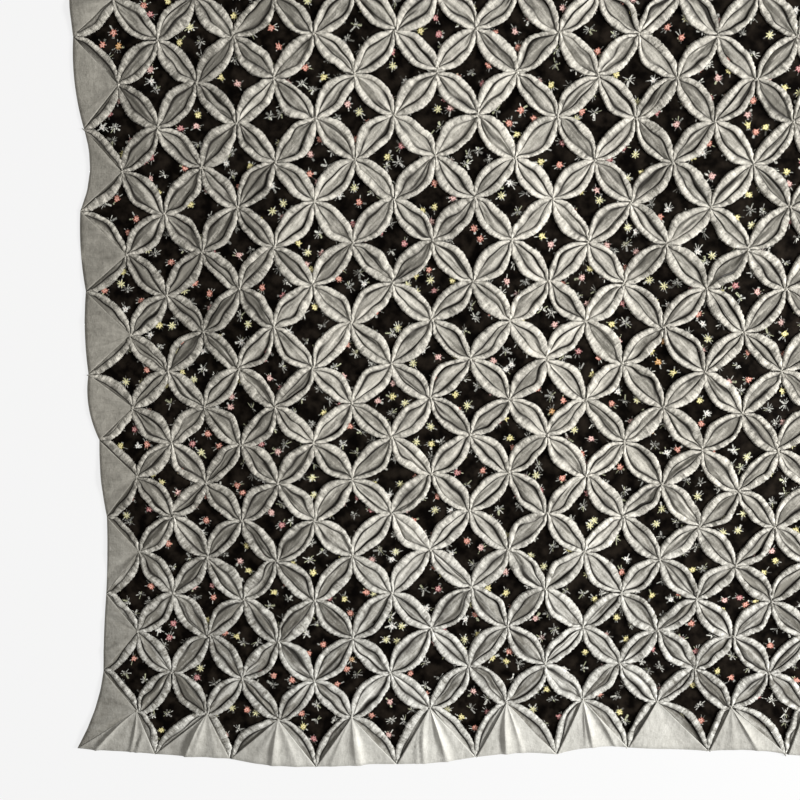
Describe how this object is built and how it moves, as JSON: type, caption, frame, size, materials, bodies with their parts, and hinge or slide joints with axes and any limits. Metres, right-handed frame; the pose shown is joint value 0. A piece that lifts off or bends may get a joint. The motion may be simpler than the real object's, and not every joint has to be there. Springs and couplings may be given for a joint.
{
  "type": "cathedral windows quilt",
  "caption": "Patchwork quilt laid face up, with rolled petal rims round recessed dark print windows and a plain grey border.",
  "frame": {"origin": "under the middle of the laid quilt, on the floor it rests on", "axes": "+X runs across the quilt to the right, +Y up the quilt towards its top hem, +Z out of its face"},
  "size_m": [1.276, 1.622, 0.0142],
  "materials": {
    "grey_cotton": "plain woven warm grey cotton, softly creased",
    "black_print": "black printed cotton with small scattered sprigs",
    "grey_thread": "matt cotton sewing thread"
  },
  "bodies": {
    "root": {"quilt": "grey_cotton"}
  },
  "joints": []
}
